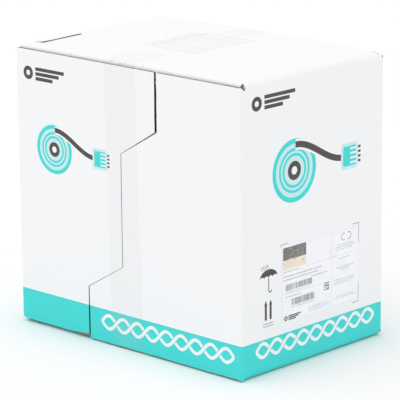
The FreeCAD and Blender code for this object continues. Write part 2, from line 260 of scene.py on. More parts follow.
INKS = {axis: liner_set(axis) for axis in "XYZ"}
KRAFT = kraft("kraft_liner", srgb(196, 160, 118), srgb(164, 126, 86), (1.0, 0.25, 1.0))
FLUTES = kraft("kraft_flutes", srgb(172, 136, 98), srgb(128, 96, 66))
RAW_EDGE = kraft("cut_edge", srgb(205, 186, 160), srgb(150, 126, 102))
# Painted shade: a dark grey kraft for the seam's cut edges, the outer flaps' inner board and the inner
# flaps' cut edges, standing in for the shade in the gaps between the flaps.
SHADE_KRAFT = kraft("seam_edge", srgb(116, 108, 103), srgb(74, 68, 64))
TOP_EDGE = kraft("top_cut_edge", srgb(232, 228, 225), srgb(198, 192, 188))
LIP_EDGE = kraft("lip_cut_edge", srgb(206, 200, 195), srgb(150, 144, 139))


def clear_tape(name, alpha):
    """Nearly clear film with drawn-out streaks and small bubbles."""
    s = Shader(name, 0.16, 0.5)
    streaks = s.noise(60.0, 3.0, (1.0, 1.0, 0.06))
    bubbles = s.noise(260.0, 2.0)
    s.bump(streaks, 0.35, 0.0003)
    s.bump(s.between(bubbles, 0.60, 0.66), 0.3, 0.0001)
    s.bsdf.inputs["Alpha"].default_value = alpha
    return s.done(s.mix(streaks, srgb(214, 214, 213), srgb(230, 230, 227)))


def paper(name, light, dark, roughness=0.55):
    s = Shader(name, roughness, 0.35)
    fibre = s.noise(700.0, 4.0)
    cloud = s.noise(45.0, 3.0)
    colour = s.mix(s.between(cloud, 0.3, 0.7), dark, light)
    s.bump(fibre, 0.2, 0.00005)
    return s.done(colour)


def plywood(name, edge):
    """Birch ply: long grain on the faces, or its stacked veneers on the rim."""
    s = Shader(name, 0.55, 0.3)
    grain = s.noise(75.0, 6.0, (0.10, 1.0, 1.0), 0.65)
    pores = s.noise(900.0, 3.0, (0.05, 1.0, 1.0))
    light, dark = srgb(214, 182, 134), srgb(176, 136, 88)
    colour = s.mix(s.between(grain, 0.35, 0.66), dark, light)
    if edge:
        plies = s.wave(2.4 * MM, "Y", 0.4)
        colour = s.mix(s.between(plies, 0.42, 0.58), colour, srgb(138, 98, 62))
    colour = s.mix(s.between(pores, 0.60, 0.72), colour, srgb(128, 94, 60))
    s.bump(grain, 0.3, 0.0002)
    return s.done(colour)


def wound_tube(name):
    """Spiral-wound tube board with the helical seam of its outer ply."""
    s = Shader(name, 0.7, 0.25)
    spiral = (0.0, 0.0, radians(28))
    place = s.node("ShaderNodeMapping", {"Vector": s.coords, "Rotation": spiral}).outputs[0]
    seam = s.node("ShaderNodeTexWave", {"Vector": place, "Scale": 4.2}, bands_direction="Y").outputs["Fac"]
    fibre = s.noise(300.0, 4.0, (1.0, 0.3, 1.0))
    colour = s.mix(fibre, srgb(150, 112, 74), srgb(192, 152, 108))
    line = s.ramp(seam, (0.0, level(1)), (0.06, level(0)))
    colour = s.mix(line, colour, srgb(96, 68, 44))
    s.bump(fibre, 0.3, 0.0001)
    return s.done(colour)


def plastic(name, light, dark, roughness=0.42, grain=1500.0):
    s = Shader(name, roughness, 0.5)
    fine = s.noise(grain, 2.0)
    cloud = s.noise(30.0, 3.0)
    s.bump(fine, 0.25, 0.00006)
    rough = s.ramp(cloud, (0.3, level(roughness - 0.08)), (0.7, level(roughness + 0.10)))
    return s.done(s.mix(cloud, dark, light), rough)


def zinc():
    s = Shader("zinc_steel", 0.3, 0.5)
    s.bsdf.inputs["Metallic"].default_value = 1.0
    turned = s.noise(500.0, 3.0, (1.0, 0.08, 1.0))
    cloud = s.noise(90.0, 4.0)
    s.bump(turned, 0.3, 0.00005)
    rough = s.ramp(cloud, (0.3, level(0.24)), (0.7, level(0.42)))
    return s.done(s.mix(cloud, srgb(176, 178, 184), srgb(208, 208, 204)), rough)


TAPE = clear_tape("clear_tape", 0.035)
TAPE_EDGE = clear_tape("clear_tape_edge", 0.10)
TAPE_TURNED = clear_tape("clear_tape_turned", 0.02)
LABEL = {
    "white": paper("label_paper", srgb(249, 250, 254), srgb(243, 244, 249)),
    "black": paper("label_black", srgb(92, 92, 96), srgb(74, 74, 78), 0.45),
    "grey": paper("label_grey", srgb(196, 197, 202), srgb(178, 180, 186)),
    "tan": paper("label_tan", srgb(246, 234, 218), srgb(236, 220, 197)),
    "slate": paper("label_slate", srgb(142, 137, 132), srgb(114, 110, 107)),
    "edge": paper("label_edge", srgb(226, 227, 231), srgb(216, 217, 222)),
}
PLY_FACE = plywood("plywood_face", False)
PLY_RIM = plywood("plywood_rim", True)
TUBE_BOARD = wound_tube("wound_tube_board")
BLACK = plastic("black_plastic", srgb(46, 46, 49), srgb(32, 32, 35))
JACKET = plastic("cable_jacket", srgb(62, 118, 178), srgb(46, 96, 156), 0.38, 700.0)
END_TAPE = paper("white_end_tape", srgb(236, 234, 226), srgb(222, 219, 208), 0.4)
ZINC = zinc()


# ---------------- flat shapes
def rectangle(s0, t0, s1, t1):
    return [(s0, t0), (s1, t0), (s1, t1), (s0, t1)]


def ellipse(s, t, a, b, count=40, start=0.0, end=360.0):
    """Points round an ellipse; an open arc when start and end are less than a turn apart."""
    whole = abs(end - start) >= 359.9
    turns = [start + (end - start) * i / (count if whole else count - 1) for i in range(count)]
    return [(s + a * cos(radians(g)), t + b * sin(radians(g))) for g in turns]


def rounded(s0, t0, s1, t1, radius, count=7):
    """A rectangle with round corners."""
    points = []
    for cs, ct, start in ((s1 - radius, t0 + radius, -90), (s1 - radius, t1 - radius, 0),
                          (s0 + radius, t1 - radius, 90), (s0 + radius, t0 + radius, 180)):
        points += ellipse(cs, ct, radius, radius, count, start, start + 90)
    return points


def stroke(path, width):
    """The outline of a line of even width along a path."""
    left, right = [], []
    for i, (s, t) in enumerate(path):
        before, after = path[max(i - 1, 0)], path[min(i + 1, len(path) - 1)]
        ds, dt = after[0] - before[0], after[1] - before[1]
        size = hypot(ds, dt) or 1.0
        left.append((s - dt / size * width / 2, t + ds / size * width / 2))
        right.append((s + dt / size * width / 2, t - ds / size * width / 2))
    return left + right[::-1]


def arc_band(s, t, radius, width, start=0.0, end=360.0):
    """Part of a ring, or a whole ring as two halves that meet."""
    if end - start >= 359.9:
        return arc_band(s, t, radius, width, 0, 180) + arc_band(s, t, radius, width, 180, 360)
    return [stroke(ellipse(s, t, radius, radius, 44, start, end), width)]


def inside(point, polygon):
    x, y = point
    hit = False
    for (x0, y0), (x1, y1) in zip(polygon, polygon[1:] + polygon[:1]):
        if (y0 > y) != (y1 > y) and x < (x1 - x0) * (y - y0) / (y1 - y0) + x0:
            hit = not hit
    return hit


def extent(polygon):
    return (min(p[0] for p in polygon), min(p[1] for p in polygon),
            max(p[0] for p in polygon), max(p[1] for p in polygon))


def dense(polygon, step):
    """The polygon with its long edges divided."""
    points = []
    for (x0, y0), (x1, y1) in zip(polygon, polygon[1:] + polygon[:1]):
        count = max(1, ceil(hypot(x1 - x0, y1 - y0) / step))
        points += [(x0 + (x1 - x0) * i / count, y0 + (y1 - y0) * i / count) for i in range(count)]
    return points


def spread(low, high, step):
    """Even values from low to high, about a step apart."""
    count = max(1, round((high - low) / step))
    return [low + (high - low) * i / count for i in range(count + 1)]


def new_object(name, data):
    thing = bpy.data.objects.new(name, data)
    bpy.context.scene.collection.objects.link(thing)
    return thing


def mesh_object(name, bm, materials, sharp):
    """The bmesh as an object, smooth but for edges sharper than an angle in degrees."""
    mesh = bpy.data.meshes.new(name)
    bm.to_mesh(mesh)
    bm.free()
    for material in materials:
        mesh.materials.append(material)
    mesh.shade_smooth()
    mesh.set_sharp_from_angle(angle=radians(sharp))
    return new_object(name, mesh)


# ---------------- sheets
class Piece:
    """A mesh piece under construction, made of sheets that share one fold-up function."""

    def __init__(self, name, place):
        self.name = name
        self.place = place
        self.bm = bmesh.new()
        self.materials = []

    def index(self, material):
        if material not in self.materials:
            self.materials.append(material)
        return self.materials.index(material)

    def plate(self, region, depth, face, back, wall, holes=(), ink=(), inks=None, cell=12 * MM,
              lines_s=(), lines_t=()):
        """A closed sheet over the flat region.

        region is a list of outlines; the sheet covers what lies in all of them and in no hole.
        depth gives (upper, lower) n at a flat point. ink is a list of (key, polygon) drawn on
        the upper face, later ones over earlier ones. face, back and wall are the finishes of
        the upper face, the lower face and the edge. lines_s and lines_t are grid lines.
        """
        s0, t0, s1, t1 = extent(region[0])
        points, edges, index = [], [], {}

        def vertex(p):
            key = (round(p[0], 7), round(p[1], 7))
            if key not in index:
                index[key] = len(points)
                points.append(Vector(key))
            return index[key]

        for polygon in [*region, *holes, *(p for _, p in ink)]:
            ids = [vertex(p) for p in dense(polygon, cell)]
            edges += [(a, b) for a, b in zip(ids, ids[1:] + ids[:1]) if a != b]
        along_s = [s0 - MM, *spread(s0, s1, cell), s1 + MM]
        along_t = [t0 - MM, *spread(t0, t1, cell), t1 + MM]
        chains = [[(s, t) for t in along_t] for s in lines_s]
        chains += [[(s, t) for s in along_s] for t in lines_t]
        for chain in chains:
            ids = [vertex(p) for p in chain]
            edges += list(zip(ids, ids[1:]))
        for s in spread(s0, s1, cell):
            for t in spread(t0, t1, cell):
                vertex((s + 1e-6, t + 1e-6))
        flat, _, tris, *_ = delaunay_2d_cdt(points, edges, [], 0, 1e-7)

        boxes = [(key, polygon, extent(polygon)) for key, polygon in ink]
        kept = []
        for tri in tris:
            a, b, c = (flat[i] for i in tri)
            if abs((b - a).cross(c - a)) < 1e-13:
                continue
            middle = ((a.x + b.x + c.x) / 3, (a.y + b.y + c.y) / 3)
            if not all(inside(middle, polygon) for polygon in region):
                continue
            if any(inside(middle, polygon) for polygon in holes):
                continue
            shade = face
            for key, polygon, (x0, y0, x1, y1) in boxes:
                if x0 <= middle[0] <= x1 and y0 <= middle[1] <= y1 and inside(middle, polygon):
                    shade = inks[key]
            kept.append((tuple(tri), shade))
        self.solid(flat, kept, depth, back, wall)

    def solid(self, flat, kept, depth, back, wall):
        """Upper and lower faces over the kept triangles, and walls round their free edges."""
        upper, lower, count = {}, {}, {}
        for tri, _ in kept:
            for i in tri:
                if i not in upper:
                    s, t = flat[i]
                    high, low = depth(s, t)
                    upper[i] = self.bm.verts.new(self.place(s, t, high))
                    lower[i] = self.bm.verts.new(self.place(s, t, low))
            for a, b in zip(tri, tri[1:] + tri[:1]):
                count[(a, b)] = count.get((a, b), 0) + 1
        for tri, shade in kept:
            top = self.bm.faces.new([upper[i] for i in tri])
            top.material_index = self.index(shade)
            low = self.bm.faces.new([lower[i] for i in reversed(tri)])
            low.material_index = self.index(back)
        for a, b in count:
            if (b, a) not in count:
                side = self.bm.faces.new((upper[b], upper[a], lower[a], lower[b]))
                finish = wall((flat[a].y + flat[b].y) / 2) if callable(wall) else wall
                side.material_index = self.index(finish)

    def finish(self, node, body, slot, flip=False):
        """The object, riding its body in place of a CAD node."""
        if flip:
            bmesh.ops.reverse_faces(self.bm, faces=self.bm.faces[:])
        thing = mesh_object(self.name, self.bm, self.materials, 32)
        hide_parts(node)
        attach(thing, body)


def board(node, body, place, outline, flute_axis, along="s", ink=(), holes=(), bends=(), creases=(),
          slot="white_board", layers=((BOARD, PITCH),), flip=False, cell=12 * MM, bare=False,
          edge=RAW_EDGE, rim=None, core=None, lines_t=()):
    """A corrugated piece: outer liner, wavy medium and inner liner, closed at its creases.

    along is the flat axis that the flutes run along. bends are values of s where the sheet
    folds and needs lines. creases are strips (s0, t0, s1, t1) closed by the liner, with its
    finish as a fifth entry where it shows. layers are (thickness, pitch) from the outer face
    inwards. edge is the finish of the cut edges, rim that of the outer liner's own edge, and
    core that of the faces inside the board.
    flute_axis is the object's axis across the flutes, for the finish.
    """
    inks = INKS[flute_axis]
    face = KRAFT if bare else inks["white"]
    piece = Piece(node + "_board", place)
    grid = dict(holes=holes, lines_s=bends, lines_t=lines_t, cell=cell)
    piece.plate([outline], lambda s, t: (0.0, LINER), face, core or KRAFT, rim or edge,
                ink=ink, inks=inks, **grid)
    top = 0.0
    s0, t0, s1, t1 = extent(outline)
    for thick, pitch in layers:
        low = top + thick
        piece.plate([outline], lambda s, t, low=low: (low - LINER, low), core or KRAFT, KRAFT, edge,
                    **grid)
        middle = (top + low) / 2
        swing = (thick - 2 * LINER - MEDIUM) / 2

        def wave(s, t, middle=middle, swing=swing, pitch=pitch, top=top, low=low):
            across = t if along == "s" else s
            level = middle + swing * sin(2 * pi * across / pitch)
            return level - MEDIUM / 2, level + MEDIUM / 2

        fine = dict(holes=holes, cell=40 * MM)
        if along == "s":
            fine.update(lines_t=spread(t0, t1, pitch / 6), lines_s=bends)
        else:
            fine.update(lines_s=sorted(set(spread(s0, s1, pitch / 6)) | set(bends)))
        piece.plate([outline], wave, core or FLUTES, core or FLUTES, edge, **fine)
        for strip in creases:
            shown = strip[4] if len(strip) > 4 else KRAFT
            piece.plate([rectangle(*strip[:4])], lambda s, t, top=top, low=low: (top + LINER, low - LINER),
                        shown, shown, shown, lines_s=[b for b in bends if strip[0] < b < strip[2]])
        top = low - LINER
    piece.finish(node, body, slot, flip)


# ---------------- folding into place
def ripple(u, v, seed, size=0.09):
    """A slow unevenness between about -1 and 1."""
    return noise.noise(Vector((u / size, v / size, seed * 7.3)))


def dome(x, y):
    """How far the top panel stands up at a place."""
    fall_x = max(0.0, 1 - (x / HALF_L) ** 2)
    fall_y = max(0.0, 1 - (y / TOP_HALF) ** 2)
    edge = min(1.0, fall_x * fall_y * 8)
    along = (y + TOP_HALF) / (2 * TOP_HALF)
    rim = fall_x * (FRONT_LIFT + (BACK_LIFT - FRONT_LIFT) * along)
    return TOP_DOME * fall_x * fall_y + rim + 0.35 * MM * ripple(x, y, 3) * edge


ARC = TUBE_FOLD * pi / 2


def fold_top(s, t, n):
    """The top panel: s runs from one end's fold across to the other's, t is y."""
    flat = 2 * (HALF_L - TUBE_FOLD)
    radius = TUBE_FOLD - n
    axis_z = HEIGHT - TUBE_FOLD
    if s < ARC:
        turn = s / TUBE_FOLD
        return (-HALF_L + TUBE_FOLD - radius * cos(turn), t, axis_z + radius * sin(turn))
    if s > ARC + flat:
        turn = (s - ARC - flat) / TUBE_FOLD
        return (HALF_L - TUBE_FOLD + radius * sin(turn), t, axis_z + radius * cos(turn))
    x = s - ARC - HALF_L + TUBE_FOLD
    return (x, t, HEIGHT - n + dome(x, t))


def top_s(x):
    """The top panel's s at an x on its flat part."""
    return x + HALF_L - TUBE_FOLD + ARC


def fold_bottom(s, t, n):
    x, y, z = fold_top(s, t, n)
    lift = 0.0 if s < ARC or s > 2 * (HALF_L - TUBE_FOLD) + ARC else dome(x, t)
    return (x, y, HEIGHT - z + lift)


def bends_at(start, arc):
    """The lines that a fold needs across the sheet."""
    return [start + arc * i / 6 for i in range(7)]


def front_bow(x, z):
    """Slow unevenness of the front flaps, none along their folds."""
    hold = min(1.0, (HALF_L - abs(x)) / (40 * MM))
    return 0.45 * MM * (0.6 + ripple(x, z, 5, 0.12)) * hold


FLAP_ARC = BOARD * pi / 2


def fold_outer(side, front=True):
    """Place function of an outer flap: s from the crease on the end panel, t is z."""
    def place(s, t, n):
        if t < 9 * MM:
            t += 0.7 * MM * ripple(s, side, 19, 0.011) * (1 - t / (9 * MM))
        if s < FLAP_ARC:
            turn = s / BOARD
            radius = max(BOARD - n, 0.15 * MM)
            x = HALF_L - BOARD + radius * cos(turn)
            y = -BODY_HALF - radius * sin(turn)
        else:
            x = HALF_L - BOARD - (s - FLAP_ARC)
            y = -HALF_D + n + front_bow(x, t)
        return (side * x, y if front else -y, t)
    return place


def flap_s(side, x):
    """An outer flap's s at an x on the face."""
    return HALF_L - BOARD - side * x + FLAP_ARC


def flap_points(side, points):
    return [(flap_s(side, x), z) for x, z in points]


def seam_edge(side, low):
    """(x, z) down the stepped free edge of a front outer flap."""
    (top_x, top_gap), (mid_x, mid_gap), (low_x, low_gap) = SEAM_RUNS
    start = SEAM_Z + RAMP_END
    torn = [FLAP_TOP - (FLAP_TOP - start) * i / 16 for i in range(16)]
    runs = [(z, top_x, top_gap + 0.7 * MM * ripple(z, side * 0.05, 17, 0.009)) for z in torn]
    runs += [(start, top_x, top_gap),
             (SEAM_Z + RAMP_START, mid_x, mid_gap), (SEAM_Z - RAMP_START, mid_x, mid_gap),
             (SEAM_Z - RAMP_END, low_x, low_gap - 0.3 * MM), (BAND_TOP, low_x, low_gap),
             (BAND_TOP - 2 * MM, low_x, low_gap + 0.8 * MM), (low, low_x, low_gap + 1.0 * MM)]
    return [(SEAM_X + x + side * gap / 2, z) for z, x, gap in runs]


def flap_outline(side, crushed=6.0 * MM, across=6.0 * MM):
    """An outer flap laid flat; the foot of its crease is rounded off by handling.

    crushed is how far the rounding goes up the crease, and across how far along the foot.
    """
    low = LEFT_BASE if side < 0 else RIGHT_BASE
    worn = CROWN_ROUNDING
    foot = ellipse(across, low + crushed, across, crushed, 8, 270, 180)
    crown = ellipse(worn, FLAP_TOP - worn, worn, worn, 6, 180, 90)
    return foot + crown + flap_points(side, seam_edge(side, low))


def corner_drop(x):
    """How far the tube's rounded fold has fallen at an x near the end."""
    beyond = min(max(0.0, abs(x) - (HALF_L - TUBE_FOLD)), TUBE_FOLD * 0.98)
    return sqrt(TUBE_FOLD ** 2 - beyond ** 2) - TUBE_FOLD


def fold_inner(front, top):
    """Place function of an inner flap: s from the top panel over the fold, t is x."""
    arc = FLAP_FOLD * pi / 2

    def place(s, t, n):
        radius = FLAP_FOLD - n
        crushed = exp(-((t + 5 * MM) / (75 * MM)) ** 2)
        crease = 0.25 * MM * ripple(t, s, 11, 0.03) + 0.45 * MM * crushed * ripple(t, s, 12, 0.006)
        rise = corner_drop(t)
        if top:
            rise += dome(t, -TOP_HALF if front else TOP_HALF)
        if s < arc:
            turn = s / FLAP_FOLD
            y = -TOP_HALF - radius * sin(turn)
            z = HEIGHT - FLAP_FOLD + radius * cos(turn) + crease * sin(turn * 2)
        else:
            y = -BODY_HALF + n
            z = HEIGHT - FLAP_FOLD - (s - arc)
        z += rise
        return (t, y if front else -y, z if top else HEIGHT - z)
    return place


# ---------------- print
def band(s0, s1):
    """The plain band along a face's foot."""
    return ("teal", rectangle(s0, -MM, s1, BAND_TOP))


def twisted_pair(s0, s1, t):
    """Two strands of a pair that cross over and under each other, as the band's white motif."""
    swing, width, turns = 9.0 * MM, 4.4 * MM, 9
    length = (s1 - s0) / turns

    def strand(which, low, high):
        return [(s0 + u * length, t + swing * sin(pi * (u + which)))
                for u in spread(low, high, 1 / 16)]

    shapes = [("white", stroke(strand(which, 0.0, turns), width)) for which in (0, 1)]
    for k in range(1, turns):
        shapes.append(("teal", stroke(strand(k % 2, k - 0.26, k + 0.26), width + 2.2 * MM)))
        shapes.append(("white", stroke(strand(k % 2, k - 0.38, k + 0.38), width)))
    return shapes


def reel_badge(s, t, size):
    """A reel seen from its end, with its lead running off to a plug; size is the reel's radius."""
    def disc(key, radius, count):
        return (key, ellipse(s, t, radius * size, radius * size, count))

    shapes = [disc("pale_teal", 1.0, 56)]
    for radius, width in ((0.92, 0.16), (0.66, 0.09), (0.50, 0.09)):
        shapes += [("teal", part) for part in arc_band(s, t, radius * size, width * size)]
    shapes += [disc("ink", 0.30, 32), disc("white", 0.13, 20)]
    lead = []
    for i in range(15):
        fall = 0.5 - 0.5 * cos(pi * i / 14)
        lead.append((s + size * (0.05 + 2.25 * i / 14), t + size * (0.80 - 0.80 * fall)))
    shapes += [("white", stroke(lead, 0.34 * size)), ("ink", stroke(lead, 0.20 * size))]

    def block(key, s0, s1, middle, half, corner=0.0):
        """Part of the plug, in reel radii from its inner end and from the reel's centre line."""
        places = (plug + s0 * size, t + (middle - half) * size,
                  plug + s1 * size, t + (middle + half) * size)
        return (key, rounded(*places, corner * size) if corner else rectangle(*places))

    plug = s + 2.28 * size
    shapes += [block("pale_teal", -0.10, 0.72, 0.0, 0.42, 0.12), block("teal", 0.0, 0.62, 0.0, 0.32, 0.07)]
    for middle in (-0.225, -0.075, 0.075, 0.225):
        shapes += [block("white", 0.34, 0.62, middle, 0.03), block("ink", 0.72, 0.84, middle, 0.04)]
    return shapes


def house_mark(s, t, length, height):
    """A plain dark mark: a round spot and three bars of falling length."""
    shapes = [("ink", ellipse(s + height / 2, t, height / 2, height / 2, 28)),
              ("white", ellipse(s + height / 2, t, height / 5, height / 5, 20))]
    start, half = s + height * 1.25, height * 0.13
    for i, share in enumerate((1.0, 0.82, 0.60)):
        level_t = t + height * (0.36 - 0.36 * i)
        end = start + (length - height * 1.25) * share
        shapes.append(("ink", rectangle(start, level_t - half, end, level_t + half)))
    return shapes


def umbrella(s, t, size):
    """Keep-dry sign: an open umbrella with rain above it. size is its half width."""
    cover = ellipse(s, t, size, size * 0.68, 24, 0, 180)
    scallops = []
    for i in range(4):
        centre = s - size + size * (2 * i + 1) / 4
        scallops += ellipse(centre, t, size / 4, size * 0.16, 7, 180, 0)
    shapes = [("ink", cover + scallops[1:-1])]
    handle = [(s, t), (s, t - size * 0.95)]
    hook = ellipse(s + size * 0.17, t - size * 0.95, size * 0.17, size * 0.2, 9, 180, 350)
    shapes.append(("ink", stroke(handle + hook, size * 0.09)))
    for i in range(4):
        x = s - size * (0.66 - 0.22 * i)
        y = t + size * (0.62 + 0.05 * i)
        shapes.append(("ink", stroke([(x, y), (x - size * 0.2, y + size * 0.32)], size * 0.055)))
    return shapes


def up_arrows(s, t, height, gap):
    """This-way-up sign: two arrows over two ground lines."""
    shaft, barb, neck = height * 0.075, height * 0.11, t + height * 0.74
    shapes = []
    for x in (s - gap / 2, s + gap / 2):
        shapes.append(("ink", rectangle(x - shaft, t, x + shaft, t + height * 0.8)))
        shapes.append(("ink", [(x - barb, neck), (x + barb, neck), (x, t + height)]))
    for half, low in ((gap, 0.20), (gap * 1.1, 0.33)):
        shapes.append(("mark", rectangle(s - half, t - height * low, s + half, t - height * (low - 0.04))))
    return shapes


def flap_ink(side, front):
    """Everything printed on one outer flap, as (key, polygon) in its flat plane."""
    if side > 0:
        end = -HALF_L + 391 * MM if front else HALF_L - 14 * MM
        marks = twisted_pair(-HALF_L + 155 * MM, end, 30 * MM)
    else:
        marks = reel_badge(-HALF_L + 71 * MM, 247 * MM, 33 * MM)
    if front and side < 0:
        marks = house_mark(-HALF_L + 15 * MM, 344 * MM, 77 * MM, 18 * MM) + marks + torn_foot()
    foot = band(-MM, flap_s(side, -side * HALF_L))
    return [foot] + [(key, flap_points(side, shape)) for key, shape in marks]


def torn_foot():
    """Where the liner has torn off the front left flap's foot, beside the seam; in x and z."""
    rng = random.Random(4)
    spots = []
    for i in range(7):
        x = SEAM_X - SEAM_STEP - (2 + 4.0 * i) * MM
        size = (4.6 - 0.45 * i) * MM * rng.uniform(0.7, 1.2)
        spots.append(("scuff", [(x + size * 1.5 * cos(g) * rng.uniform(0.5, 1.1),
                                 LEFT_BASE + 0.4 * MM + size * 0.8 * sin(g) * rng.uniform(0.4, 1.2))
                                for g in (j * pi / 5 for j in range(10))]))
    return spots


def end_ink():
    """The label end's print: s is y, t is z."""
    near = -HALF_D
    shapes = [band(-BODY_HALF - MM, BODY_HALF + MM)]
    shapes += twisted_pair(near + 26 * MM, near + 254 * MM, 33 * MM)
    shapes += house_mark(near + 19.5 * MM, 351 * MM, 80 * MM, 18.5 * MM)
    shapes += reel_badge(near + 98 * MM, 255 * MM, 41 * MM)
    shapes += umbrella(near + 49.5 * MM, 125.5 * MM, 16.5 * MM)
    shapes += up_arrows(near + 48.5 * MM, 71 * MM, 26 * MM, 9 * MM)
    # The box printed round the label's place, seen at three of its corners.
    low_y, low_z = LABEL_LOW[1] - 2 * MM, LABEL_LOW[2] - 2 * MM
    high_y, high_z = LABEL_HIGH[1] + 2 * MM, LABEL_HIGH[2] + 2 * MM
    for path in ([(low_y + 14 * MM, high_z), (low_y, high_z), (low_y, high_z - 3 * MM)],
                 [(high_y - 12 * MM, high_z), (high_y, high_z), (high_y, high_z - 26 * MM)],
                 [(high_y, low_z + 26 * MM), (high_y, low_z), (high_y - 12 * MM, low_z)]):
        for first, second in zip(path, path[1:]):
            shapes.append(("mark", stroke([first, second], 0.9 * MM)))
    return shapes


def turned(shapes):
    """Shapes with their two flat axes exchanged."""
    return [(key, [(t, s) for s, t in polygon]) for key, polygon in shapes]


def top_ink():
    """The write-in panel on the top: two rows of small blocks, then ruled fields."""
    s0, s1 = top_s(-31 * MM), top_s(46 * MM)
    t0, t1 = -52 * MM, 60 * MM
    shapes = [("grey", rectangle(s0, t0, s1, t1))]
    for i in range(5):
        t = t0 + (t1 - t0) * i / 4
        shapes.append(("line", rectangle(s0, t - 0.5 * MM, s1, t + 0.5 * MM)))
    for s in (s0, s1):
        shapes.append(("line", rectangle(s - 0.5 * MM, t0, s + 0.5 * MM, t1)))
    shapes += turned(lines_of_writing(t0 + 2 * MM, top_s(-46 * MM), t1 - 4 * MM, 2.6 * MM, 31, "line"))
    shapes += turned(lines_of_writing(t0 + 4 * MM, top_s(-38 * MM), t1, 3.0 * MM, 32, "line"))
    shapes.append(("rubbed_and_shaded", ellipse(top_s(-37 * MM), -112 * MM, 3.0 * MM, 5.0 * MM, 9)))
    shapes.append(("worn", ellipse(top_s(-36 * MM), -111 * MM, 1.2 * MM, 3.0 * MM, 7)))
    return shapes


# ---------------- the carton
def hand_hold(side, gap):
    """The hand-hold's outline in the top panel's flat plane."""
    crease = TAB_HIGH[0]
    free = TAB_LOW[0] - CUT + gap
    half = TAB_HIGH[1] + CUT - gap
    ends = sorted((side * free, side * crease))
    corner = 16 * MM
    return rounded(top_s(ends[0]), -half, top_s(ends[1]), half, corner, 9)


def make_tube():
    """The four panels, their glued joint, the door and the hand-hold tabs."""
    whole = 2 * ARC + 2 * (HALF_L - TUBE_FOLD)
    folds = bends_at(0.0, ARC) + bends_at(whole - ARC, ARC)
    door_y0, door_y1 = DOOR_LOW[1] - CUT, DOOR_HIGH[1] + CUT
    lip = top_s(DOOR_HIGH[0] + CUT)
    ear = top_s(HALF_L - 3 * MM)
    white, teal = INKS["X"]["white"], INKS["X"]["teal"]

    def ears(y):
        """The sheet's end beyond the inner flap, with an ear at each corner."""
        rim, tip = (TOP_HALF, BODY_HALF) if y > 0 else (-TOP_HALF, -BODY_HALF)
        points = [(whole, tip), (ear, tip), (ear, rim), (whole - ear, rim), (whole - ear, tip), (0.0, tip)]
        return points if y > 0 else points[::-1]

    def closing(y, shown, eared):
        """The strips that close that end, along the inner flap's crease and both ears."""
        rim, tip = (TOP_HALF, BODY_HALF) if y > 0 else (-TOP_HALF, -BODY_HALF)
        inward = -CLOSED if y > 0 else CLOSED
        last = tip if eared else rim
        return [(s0, min(t, t + inward), s1, max(t, t + inward), finish)
                for s0, s1, t, finish in ((0.0, whole - ear, last, shown),
                                          (whole - ear, ear, rim, KRAFT), (ear, whole, last, shown))]

    top = [(0.0, -TOP_HALF), (whole, -TOP_HALF), *ears(1),
           (0.0, door_y1), (lip, door_y1), (lip, door_y0), (0.0, door_y0)]
    closed = [(0.0, -TOP_HALF, CLOSED, door_y0), (0.0, door_y1, CLOSED, BODY_HALF),
              (whole - CLOSED, -TOP_HALF, whole, BODY_HALF)]
    closed += closing(-1, white, False) + closing(1, white, True)
    board("top_panel", "carton", fold_top, top, "X", "t", top_ink(),
          [hand_hold(-1, 0.5 * CUT), hand_hold(1, 0.5 * CUT)], folds, closed, rim=white)
    feet = [(0.0, -BODY_HALF, CLOSED, BODY_HALF), (whole - CLOSED, -BODY_HALF, whole, BODY_HALF)]
    feet += closing(-1, teal, True) + closing(1, teal, True)
    foot_ink = [("teal", rectangle(-MM, -HALF_D, ARC + 2 * MM, HALF_D)),
                ("teal", rectangle(whole - ARC - 2 * MM, -HALF_D, whole + MM, HALF_D))]
    board("bottom_panel", "carton", fold_bottom, ears(-1) + ears(1), "X", "t", foot_ink,
          bends=folds, creases=feet, flip=True, rim=teal)
    for side, name in SIDES:
        outline = hand_hold(side, 0.85 * CUT)
        board("hand_hold_tab_" + name, "hand_hold_tab_" + name, fold_top, outline, "X", "t")

    low, high = END_LOW[2], END_HIGH[2]
    closed = [(-BODY_HALF, low, -BODY_HALF + CLOSED, high), (BODY_HALF - CLOSED, low, BODY_HALF, high)]
    board("right_end_panel", "carton", lambda s, t, n: (HALF_L - n, s, t),
          rectangle(-BODY_HALF, low, BODY_HALF, high), "Z", "s", end_ink(), creases=closed)
    crease = DOOR_LOW[2]
    outline = [(-BODY_HALF, low), (BODY_HALF, low), (BODY_HALF, high), (door_y1, high),
               (door_y1, crease), (door_y0, crease), (door_y0, high), (-BODY_HALF, high)]
    plain = [band(-BODY_HALF - MM, BODY_HALF + MM), *twisted_pair(-110 * MM, 118 * MM, 33 * MM),
             *reel_badge(-60 * MM, 215 * MM, 41 * MM)]
    board("left_end_panel", "carton", lambda s, t, n: (-HALF_L + n, s, t), outline, "Z", "s",
          plain, creases=closed, flip=True)
    make_door(crease)
    (_, near, low), (_, far, high) = GLUE_LOW, GLUE_HIGH
    taper = 14 * MM
    board("glue_flap", "carton", lambda s, t, n: (-HALF_L + 2 * BOARD - n, s, t),
          [(near, low), (far, low), (far - taper, high), (near + taper, high)], "Z", "s")


def make_door(crease):
    """The payout door: up the left end, round the fold and in over the top."""
    rise = HEIGHT - TUBE_FOLD - crease

    def place(s, t, n):
        if s < rise:
            return (-HALF_L + n, t, crease + s)
        x, y, z = fold_top(s - rise, t, n)
        along = max(0.0, (s - rise - ARC) / (reach - rise - ARC))
        lifted = 1.3 * MM + 0.8 * MM * ripple(t, 0.0, 23, 0.008)
        return (x, y, z + lifted * along ** 2)

    reach = rise + top_s(DOOR_HIGH[0])
    outline = rounded(-5 * MM, DOOR_LOW[1], reach, DOOR_HIGH[1], 3 * MM)
    outline = [(max(s, 0.0), t) for s, t in outline]
    clean = [p for i, p in enumerate(outline) if p != outline[i - 1]]
    board("payout_door", "payout_door", place, clean, "X", "t", bends=bends_at(rise, ARC),
          creases=[(0.0, DOOR_LOW[1] + MM, CLOSED, DOOR_HIGH[1] - MM)], edge=LIP_EDGE)


